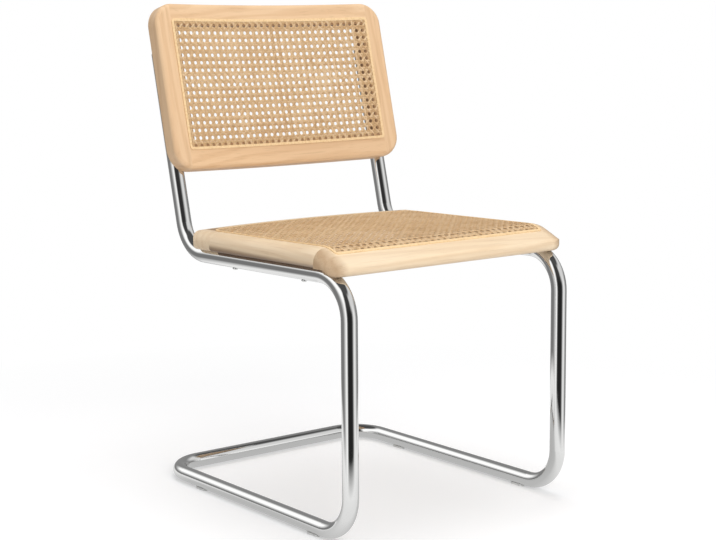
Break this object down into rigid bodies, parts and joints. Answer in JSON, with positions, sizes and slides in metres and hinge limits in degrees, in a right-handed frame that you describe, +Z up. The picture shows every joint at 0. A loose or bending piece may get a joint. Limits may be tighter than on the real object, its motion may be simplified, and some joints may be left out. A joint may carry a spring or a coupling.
{
  "type": "cantilever chair",
  "caption": "Cantilever dining chair: bent steel tube frame with a floor loop, and a seat and a back of pale wood with woven cane panels.",
  "frame": {"origin": "on the floor, in the middle of the chair's footprint: the centre of the bounding box's bottom face", "axes": "+Z up; +Y from the front of the seat towards the back; +X to the sitter's left, which is the right-hand side seen from the front"},
  "size_m": [0.48, 0.5364, 0.805],
  "materials": {
    "chrome_tube": "polished",
    "plain_steel": "satin",
    "end_plug": "satin",
    "glide": "matte",
    "pale_wood": "satin lacquer",
    "dowel_wood": "plain",
    "cane": "satin",
    "reed": "satin"
  },
  "bodies": {
    "root": {"left_side_tube": "chrome_tube", "right_side_tube": "chrome_tube", "rear_base_tube": "chrome_tube", "base_joint_spigots": "plain_steel", "base_joint_screws": "plain_steel", "seat_screws": "plain_steel", "back_screws": "plain_steel", "tube_end_plugs": "end_plug", "floor_glides": "glide", "seat_front_rail": "pale_wood", "seat_rear_rail": "pale_wood", "seat_left_rail": "pale_wood", "seat_right_rail": "pale_wood", "back_left_stile": "pale_wood", "back_right_stile": "pale_wood", "back_top_rail": "pale_wood", "back_bottom_rail": "pale_wood", "seat_dowels": "dowel_wood", "back_dowels": "dowel_wood", "seat_cane": "cane", "back_cane": "cane", "seat_spline": "reed", "back_spline": "reed"}
  },
  "joints": []
}
